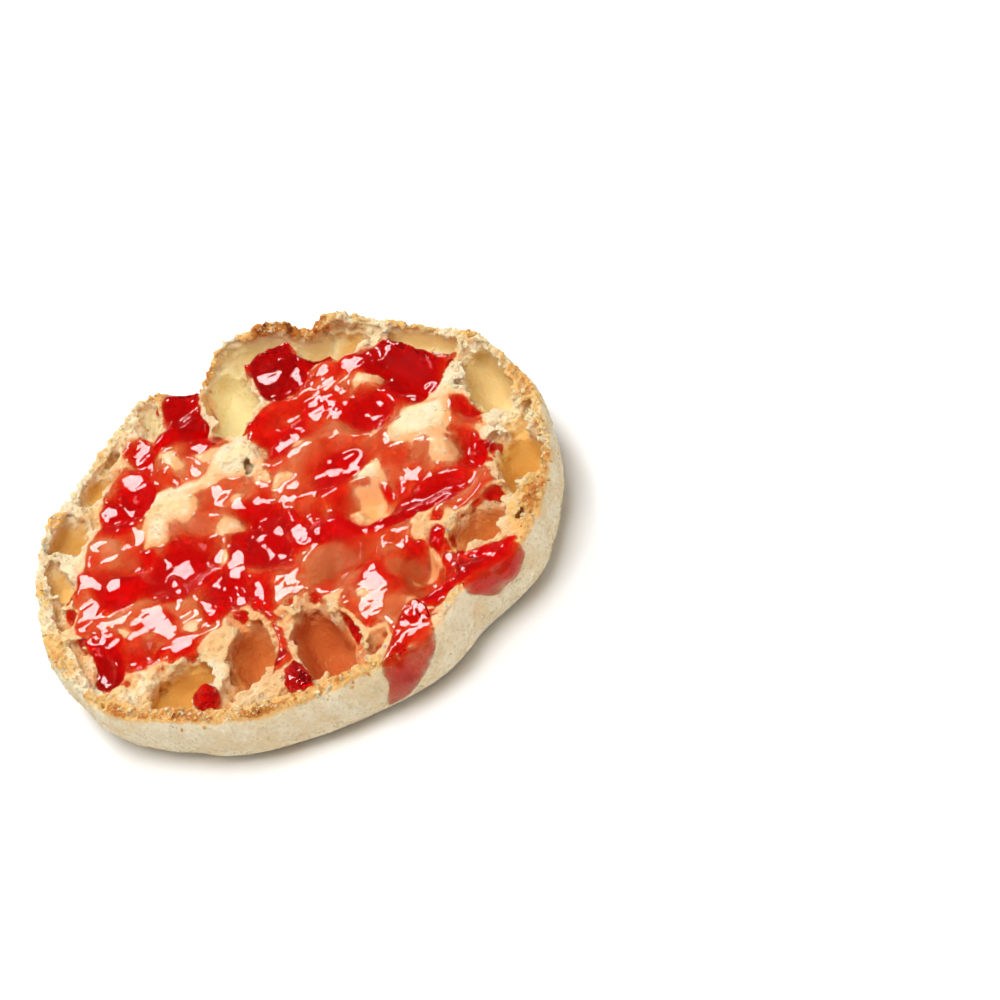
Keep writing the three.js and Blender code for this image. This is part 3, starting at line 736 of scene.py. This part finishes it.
def bubble_cluster():
    """Every bubble that the tear opened, joined to one solid for cutting."""
    rng = random.Random(5)
    balls = []  # middle, half lengths, turn
    for x, y, a, b, turn, deep, _ in BARE_POCKETS:
        z = float(face_height(x, y))
        balls.append(((x, y, z - 0.3 * deep), (a, b, 0.7 * deep), turn))
        for _ in range(5):
            way = rng.uniform(0, 2 * math.pi)
            local = Vector((0.75 * a * math.cos(way), 0.75 * b * math.sin(way), 0))
            local.rotate(Matrix.Rotation(math.radians(turn), 3, "Z"))
            size = rng.uniform(0.2, 0.36) * min(a, b)
            middle = (x + local.x, y + local.y, z - rng.uniform(0.1, 0.5) * deep)
            balls.append((middle, (size * 1.2, size, size), rng.uniform(0, 180)))
    for _ in range(bread_settings().bubbles):
        way, far = rng.uniform(0, 2 * math.pi), BUBBLE_REACH * rng.random() ** 0.45
        x, y = far * math.cos(way), far * math.sin(way)
        if jam_cover(x, y) > 0.3:
            continue
        size = 0.5 + 2.2 * rng.random() ** 3
        z = float(face_height(x, y)) - size * rng.uniform(-0.35, 0.8)
        reach = (size * rng.uniform(0.8, 1.5), size, size * rng.uniform(0.7, 1.1))
        balls.append(((x, y, z), reach, rng.uniform(0, 180)))
    shapes = [ball_shape(detail, 0) for detail in (2, 3, 4)]
    placed = []
    for middle, reach, turn in balls:
        turned = Matrix.Translation(middle) @ Matrix.Rotation(math.radians(turn), 4, "Z")
        shape = shapes[(max(reach) > 1.8) + (max(reach) > 4)]
        placed.append((shape, turned @ Matrix.Diagonal((*reach, 1))))
    cluster = object_from(copies_mesh(placed), "bubbles")
    points = points_of(cluster.data)
    points += 0.85 * np.column_stack([noise_at(points + shift, 4, 3) for shift in (0, 50, 100)])
    # Bubbles stop short of the crust and of the base.
    x, y, z = points.T
    angle = np.arctan2(y, x)
    wall = CRUST_THICKNESS * (0.8 + 0.35 * np.sin(11 * angle) * np.sin(5 * angle + 1))
    wall += 1.6 * smooth_step(-0.2, -0.8, np.cos(angle - 0.8))
    limit = outline_radius(angle) * share_at(z / face_rim(angle)) - wall
    scale = np.minimum(1, limit / np.maximum(np.hypot(x, y), 1e-6))
    points = np.column_stack([x * scale, y * scale, np.maximum(z, FLOOR_THICKNESS)])
    set_points(cluster.data, points)
    remesh(cluster, BUBBLE_CELL)
    return cluster


def build_bread():
    """The half with its bubbles cut out, its crumb torn and its tones written as attributes."""
    settings = bread_settings()
    bread = bread_blank()
    combine(bread, bubble_cluster(), "DIFFERENCE")
    bread.name = bread.data.name = "bread"
    remesh(bread, settings.grain / MM)
    points, normals = points_of(bread.data), triples(bread.data.vertex_normals, "vector")
    x, y, z = points.T
    side, below, inside = bread_zones(points)
    skin = smooth_step(0.8, 2.2, below) * (pocket_depth(BARE_POCKETS, x, y) > 0)
    rim = smooth_step(4, 1, inside) * smooth_step(2.5, 0.5, below)
    rough = (1 - side) * (1 - 0.85 * skin) * (0.1 + 0.9 * crumb_shows(x, y))
    crags = 0.35 - 1.5 * np.abs(noise_at(points, 2.6, 2))
    fine = 0.3 - np.abs(noise_at(points + 30, 1.1, 2))
    dents = noise_at(points + 60, 7, 2)
    torn = (0.4 + 0.8 * rim) * crags + (0.3 + 0.15 * rim) * fine - 0.5 * pits_at(points, PIT_SPACING)
    soft = 0.16 * fine + 0.35 * dents * smooth_step(0.5, 3, z)
    points += normals * (rough * torn + side * soft)[:, None]
    points[:, 2] = np.maximum(points[:, 2], 0)
    set_points(bread.data, points)
    bread.data.calc_loop_triangles()
    share = min(1, BREAD_TRIANGLES / len(bread.data.loop_triangles))
    modify(bread, "DECIMATE", ratio=share, use_collapse_triangulate=True)
    write_tones(bread.data)
    to_metres(bread.data)
    finish_piece(bread, crumb_material(), ["muffin_half"])


def write_tones(mesh):
    """Writes the attributes that colour the crumb, for a mesh in millimetres."""
    points = points_of(mesh)
    x, y, z = points.T
    side, below, inside = bread_zones(points)
    patchy = noise_at(points, 5, 2)
    high = smooth_step(0, 1.5, -below + 0.6 * patchy)
    edge = smooth_step(5, 1, inside) * smooth_step(1.6, -0.2, below)
    brown = browning(np.arctan2(y, x))
    toast = (0.15 + 0.35 * brown) * high * smooth_step(9, 5, inside) + edge * (0.78 * brown + 0.28 * patchy)
    griddle = (z < 0.02) * smooth_step(7, 9, inside) * (0.8 + 0.3 * patchy)
    shows = crumb_shows(x, y)
    nearness = np.array([1 / (squared(p, x, y) + 0.1) ** 2 for p in BARE_POCKETS])
    skins = np.array([p[6] for p in BARE_POCKETS])
    set_attribute(mesh, "side", side)
    # Depth below the face plus the pits where crumb shows; the crumb material turns this into the pocket
    # colours, partly the bubbles' skin and partly painted shade in hollows and pits.
    deep = np.maximum(0, below) + 0.9 * shows * pits_at(points, PIT_SPACING)
    set_attribute(mesh, "deep", deep * (1 - side))
    set_attribute(mesh, "toast", np.maximum(toast * (inside > -0.8), griddle))
    set_attribute(mesh, "skin", skins @ nearness / nearness.sum(axis=0))
    set_attribute(mesh, "coarse", np.maximum(0.2 + 0.8 * shows, side))


def bread_zones(points):
    """For each point, 1 on the soft side and base, and how far it is below the face and inside the crest."""
    x, y, z = points.T
    angle = np.arctan2(y, x)
    shell = outline_radius(angle) * share_at(z / face_rim(angle)) - np.hypot(x, y)
    below = face_height(x, y) - z
    wall = (1 - smooth_step(-0.1, 1, shell)) * smooth_step(-0.1, 1.1, below)
    return np.maximum(wall, smooth_step(1.2, 0.6, z)), below, crest_distance(x, y)


def jam_sheet(bread):
    """The spread jam as a block whose underside is hidden in the bread."""
    size = GRID_REACH
    count = round(2 * size / (jam_settings().cell / MM))
    axis = np.linspace(-size, size, count + 1)
    x, y = np.meshgrid(axis, axis)
    tree = BVHTree.FromObject(bread, bpy.context.evaluated_depsgraph_get())
    radius = bread_settings().radius / MM
    crumb = face_height(x, y)
    for index in np.ndindex(x.shape):
        if x[index] ** 2 + y[index] ** 2 < radius**2:
            hit = tree.ray_cast(Vector((x[index], y[index], ABOVE)) * MM, Vector((0, 0, -1)))[0]
            if hit:
                crumb[index] = hit.z / MM
    top = jam_surface(x, y, crumb)
    cover = np.minimum(best_margin(JAM_STROKES, x, y) + 2.2, crest_distance(x, y) - 0.3)

    def cell(vert):
        """A grid point's row and column."""
        return tuple(round((c + size) / (2 * size) * count) for c in (vert.co.y, vert.co.x))

    bm = bmesh.new()
    bmesh.ops.create_grid(bm, x_segments=count, y_segments=count, size=size)
    bmesh.ops.delete(bm, geom=[v for v in bm.verts if cover[cell(v)] < 0], context="VERTS")
    extruded = bmesh.ops.extrude_face_region(bm, geom=list(bm.faces))["geom"]
    upper = {v for v in extruded if isinstance(v, bmesh.types.BMVert)}
    for vert in bm.verts:
        if vert in upper:
            vert.co.z = top[cell(vert)]
        else:
            vert.co = (vert.co.x * UNDERSIDE_SHARE, vert.co.y * UNDERSIDE_SHARE, UNDERSIDE_HEIGHT)
    bmesh.ops.recalc_face_normals(bm, faces=bm.faces)
    if bm.calc_volume(signed=True) < 0:
        bmesh.ops.reverse_faces(bm, faces=bm.faces)
    mark_stain(bread, top)
    return object_from(bm, "jam")


def mark_stain(bread, top):
    """Writes how far the jam has soaked into the bread: 1 well under the jam's top, 0 well clear of it."""
    points = points_of(bread.data) / MM
    x, y, z = points.T
    last = top.shape[0] - 1
    row, column = (np.clip(np.rint((c / GRID_REACH + 1) / 2 * last).astype(int), 0, last) for c in (y, x))
    soaked = smooth_step(-1.1, 0.2, blurred(top, 1.5)[row, column] - z)
    in_pocket, in_stroke = best_margin(BARE_POCKETS, x, y), best_margin(JAM_STROKES, x, y)
    soaked *= smooth_step(0.8, -0.6, in_pocket) * smooth_step(-1.6, 0.4, in_stroke)
    halo = smooth_step(-1.5, 1, in_stroke) * smooth_step(2, 0, in_pocket)
    soaked = np.maximum(soaked, 0.48 * halo)
    soaked *= 1 - 0.85 * smooth_step(0.25, 0.85, bareness(x, y))
    soaked *= 1 - bread_zones(points)[0]
    set_attribute(bread.data, "stain", soaked)


def jam_run(start, end):
    """A ball stretched along the surface from the face, over the crest and down the side, which it hugs."""
    bm = bmesh.new()
    bmesh.ops.create_uvsphere(bm, u_segments=48, v_segments=64, radius=1)
    run = object_from(bm, "run")
    x, y, z = points_of(run.data).T
    t = (1 - z) / 2
    angle_at, down, width, thick = (a + (b - a) * t for a, b in zip(start, end))
    width *= 1 + 0.22 * flat_noise(np.sign(x) * 9, down, 5, 3, 2)
    angle = np.radians(angle_at) + x * width / (bread_settings().radius / MM)
    rim = face_rim(angle)
    height = rim - np.maximum(down, 0)
    out = thick * -y * (1 + 0.6 * flat_noise(angle * 48, down, 2.4, 1, 2))
    on_side = smooth_step(-1.5, 1.5, down)
    radius = outline_radius(angle) * share_at(height / rim) + np.minimum(down, 0) + out * on_side
    height += out * (1 - on_side)
    set_points(run.data, np.column_stack([radius * np.cos(angle), radius * np.sin(angle), height]))
    return run


def lone_drop(at, reach):
    """An uneven drop of jam."""
    bm = bmesh.new()
    matrix = Matrix.Translation(at) @ Matrix.Diagonal((*reach, 1))
    bmesh.ops.create_icosphere(bm, subdivisions=5, radius=1, matrix=matrix)
    drop = object_from(bm, "drop")
    points = points_of(drop.data)
    points += 0.8 * np.column_stack([noise_at(points + shift, 2.5, 2) for shift in (0, 40, 80)])
    set_points(drop.data, points)
    return drop


def build_jam():
    """The spread jam, its runs and its lone drops as one solid."""
    jam = jam_sheet(bpy.data.objects["bread"])
    for start, end in RUNS:
        combine(jam, jam_run(start, end), "UNION")
    for at, reach in LONE_DROPS:
        combine(jam, lone_drop(at, reach), "UNION")
    jam.name = jam.data.name = "jam"
    to_metres(jam.data)
    finish_piece(jam, jam_material(), ["jam_spread", "jam_drop_left", "jam_drop_front"])


def scatter_cornmeal(bread):
    """Grains of cornmeal stuck to the side, closest together at the lower edge."""
    rng = random.Random(3)
    tree = BVHTree.FromObject(bread, bpy.context.evaluated_depsgraph_get())
    shapes = [ball_shape(1, 0.25, seed) for seed in range(4)]
    placed = []
    for _ in range(CORNMEAL_TRIES):
        angle = rng.uniform(0, 2 * math.pi)
        height = 0.3 + 11.5 * rng.random() ** 1.5
        start = Vector((60 * math.cos(angle), 60 * math.sin(angle), height)) * MM
        hit, normal, _, _ = tree.ray_cast(start, Vector((-math.cos(angle), -math.sin(angle), 0)))
        if hit is None or crest_distance(hit.x / MM, hit.y / MM) > 1.5:
            continue
        size = rng.uniform(0.1, 0.27) * MM
        placed.append((rng.choice(shapes), bit_matrix(hit, normal, size, rng)))
    grains = object_from(copies_mesh(placed), "cornmeal")
    finish_piece(grains, cornmeal_material())


def scatter_grains():
    bread = bpy.data.objects["bread"]
    scatter_cornmeal(bread)
    scatter_crumbs(bread, bpy.data.objects["jam"])


def bit_matrix(hit, normal, size, rng):
    """Lays an uneven bit about that large on a surface."""
    turn = normal.to_track_quat("Z", "X").to_matrix().to_4x4() @ Matrix.Rotation(rng.uniform(0, 6), 4, "Z")
    flat = Matrix.Diagonal((size, size * rng.uniform(0.55, 1), size * rng.uniform(0.45, 0.8), 1))
    return Matrix.Translation(hit) @ turn @ flat


def scatter_crumbs(bread, jam):
    """Torn crumbs on the bare crumb, thick along the toasted rim."""
    rng = random.Random(11)
    graph = bpy.context.evaluated_depsgraph_get()
    tree, jam_tree = BVHTree.FromObject(bread, graph), BVHTree.FromObject(jam, graph)
    shapes = [ball_shape(1, 0.35, seed) for seed in range(8)]
    placed, toasts = [], []
    down = Vector((0, 0, -1))
    for _ in range(CRUMB_TRIES):
        way, far = rng.uniform(0, 2 * math.pi), 48 * math.sqrt(rng.random())
        x, y = far * math.cos(way), far * math.sin(way)
        inside = float(crest_distance(x, y))
        brown = float(browning(way))
        if inside < -1.5 or rng.random() > 0.05 + (0.08 + 0.45 * brown) * float(smooth_step(7, 1, inside)):
            continue
        start = Vector((x, y, ABOVE)) * MM
        hit, normal, _, _ = tree.ray_cast(start, down)
        if hit is None or normal.z < 0.25 or hit.z / MM < float(face_height(x, y)) - 2.2:
            continue
        over = jam_tree.ray_cast(start, down)[0]
        if over and over.z > hit.z:
            continue
        size = (0.16 + 0.34 * rng.random() ** 3) * MM
        placed.append((rng.choice(shapes), bit_matrix(hit, normal, size, rng)))
        toast = (0.1 + 0.8 * rng.random() ** 1.5) * min(1, 0.4 + brown)
        toasts.append(toast * float(smooth_step(8, 2, inside)))
    points_each = len(shapes[0].vertices)
    crumbs = object_from(copies_mesh(placed), "crumbs")
    set_attribute(crumbs.data, "toast", np.repeat(toasts, points_each))
    finish_piece(crumbs, bread.data.materials[0])


# --- Stage and operators ---


def softbox(name, direction, distance, size, watts, highlight=True):
    """A rectangular light that looks at the muffin from a direction, with or without a highlight on it."""
    light = bpy.data.lights.new(name, "AREA")
    light.shape = "RECTANGLE"
    light.size, light.size_y = size
    light.energy = watts
    lamp = bpy.data.objects.new(name, light)
    lamp.location = Vector(direction).normalized() * distance
    lamp.rotation_euler = Vector(direction).to_track_quat("Z", "Y").to_euler()
    lamp.visible_glossy = highlight
    bpy.context.scene.collection.objects.link(lamp)


def build_stage():
    """A white table, a dim white surround, four softboxes and the camera."""
    settings = stage_settings()
    scene = bpy.context.scene
    bm = bmesh.new()
    bmesh.ops.create_grid(bm, x_segments=2, y_segments=2, size=4)
    floor = object_from(bm, "floor")
    nodes = Nodes("White table")
    values = {"Base Color": (0.97, 0.97, 0.97, 1), "Roughness": 0.6, "Specular IOR Level": 0.2}
    floor.data.materials.append(nodes.principled(values))

    world = bpy.data.worlds.new("Studio")
    scene.world = world
    world.use_nodes = True
    background = world.node_tree.nodes["Background"]
    background.inputs["Color"].default_value = (1, 1, 1, 1)
    background.inputs["Strength"].default_value = settings.sky

    watts = settings.softbox
    softbox("Softbox back", (-0.15, 1, 0.9), 1.1, (0.38, 0.32), watts * 0.68)
    softbox("Softbox top", (-0.1, -0.2, 1), 1.3, (0.9, 0.9), watts * 1.78, highlight=False)
    softbox("Softbox fill", (0.7, -1, 0.35), 1.3, (0.8, 0.6), watts * 0.4, highlight=False)
    softbox("Softbox left", (-1, -0.1, 0.9), 1.2, (0.3, 0.4), watts * 0.15)

    sine, cosine = math.sin(settings.elevation), math.cos(settings.elevation)
    away = Vector((0, -cosine, sine))
    turned = Matrix.Rotation(-settings.roll, 3, away)
    right = turned @ Vector((1, 0, 0))
    up = turned @ Vector((0, sine, cosine))
    aim = (Vector((0, 0, AIM_HEIGHT)) + AIM_RIGHT * right + AIM_UP * up) * MM
    camera = bpy.data.objects.new("Camera", bpy.data.cameras.new("Camera"))
    camera.data.sensor_width = 36
    camera.data.lens = 36 * settings.distance / settings.field
    camera.data.clip_end = 50
    facing = Matrix((right, up, away)).transposed().to_4x4()
    camera.matrix_world = Matrix.Translation(aim + settings.distance * away) @ facing
    scene.collection.objects.link(camera)
    scene.camera = camera
    scene.view_settings.view_transform = "Standard"


def operator(step, label, description, build):
    """An operator that carries out one building step."""

    def execute(self, context):
        build()
        return {"FINISHED"}

    shown = {"bl_idname": "muffin." + step, "bl_label": label, "bl_description": description}
    return type("MUFFIN_OT_" + step, (bpy.types.Operator,), {**shown, "execute": execute})


class MUFFIN_PT_panel(bpy.types.Panel):
    """Sizes, colours and building steps of the muffin half"""

    bl_label = "English Muffin Half"
    bl_space_type = "VIEW_3D"
    bl_region_type = "UI"
    bl_category = "Muffin"

    def draw(self, context):
        for settings, steps in zip(SETTINGS, (["bread"], ["jam", "grains"], ["stage"])):
            box = self.layout.box()
            group = getattr(context.scene, settings)
            for name in group.bl_rna.properties.keys():
                if name not in ("rna_type", "name"):
                    box.prop(group, name)
            for step in steps:
                box.operator("muffin." + step)


SETTINGS = {"muffin_bread": BreadSettings, "muffin_jam": JamSettings, "muffin_stage": StageSettings}
CLASSES = (
    *SETTINGS.values(),
    operator("bread", "Build Bread", "Build the torn, toasted muffin half", build_bread),
    operator("jam", "Build Jam", "Build the jam on the half and down its side", build_jam),
    operator("grains", "Scatter Grains", "Scatter cornmeal on the side and crumbs on the rim", scatter_grains),
    operator("stage", "Set Up Stage", "Set up the floor, lights and camera", build_stage),
    MUFFIN_PT_panel,
)


def register():
    for cls in CLASSES:
        bpy.utils.register_class(cls)
    for name, group in SETTINGS.items():
        setattr(bpy.types.Scene, name, PointerProperty(type=group))


def unregister():
    for name in SETTINGS:
        delattr(bpy.types.Scene, name)
    for cls in reversed(CLASSES):
        bpy.utils.unregister_class(cls)


def main():
    register()
    bpy.ops.muffin.bread()
    bpy.ops.muffin.jam()
    bpy.ops.muffin.grains()
    bpy.ops.muffin.stage()


if __name__ == "__main__":
    main()
